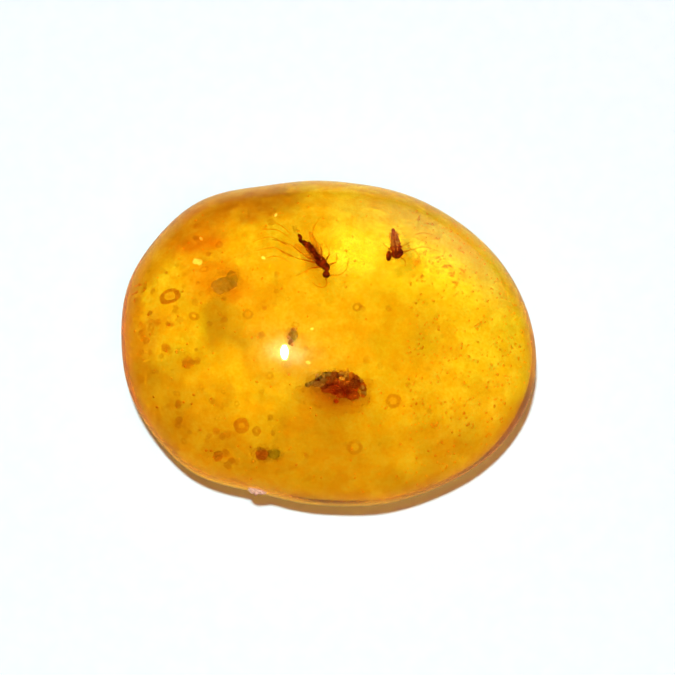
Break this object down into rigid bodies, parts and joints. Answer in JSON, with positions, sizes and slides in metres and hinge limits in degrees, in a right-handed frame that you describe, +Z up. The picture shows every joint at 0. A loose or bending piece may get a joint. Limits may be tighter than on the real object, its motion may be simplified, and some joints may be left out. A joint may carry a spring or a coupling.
{
  "type": "amber stone with insect inclusions",
  "caption": "Hand-polished oval cabochon of clear golden amber with small insects and plant debris sealed inside, lying on its flat underside.",
  "frame": {"origin": "on the surface that the stone lies on, under the middle of its outline", "axes": "+X along the stone's length, +Y across it and away from the viewer, +Z up through the dome"},
  "size_m": [0.025, 0.02, 0.009],
  "materials": {
    "amber": "polished",
    "insect": "satin",
    "bark": "matte",
    "seed": "matte",
    "leaf": "matte",
    "frass": "matte"
  },
  "bodies": {
    "root": {"amber_dome": "amber", "amber_base": "amber", "gnat": "insect", "small_fly": "insect", "bark_fragment": "bark", "seed_grain": "seed", "leaf_flake": "leaf", "frass_pellets": "frass"}
  },
  "joints": []
}
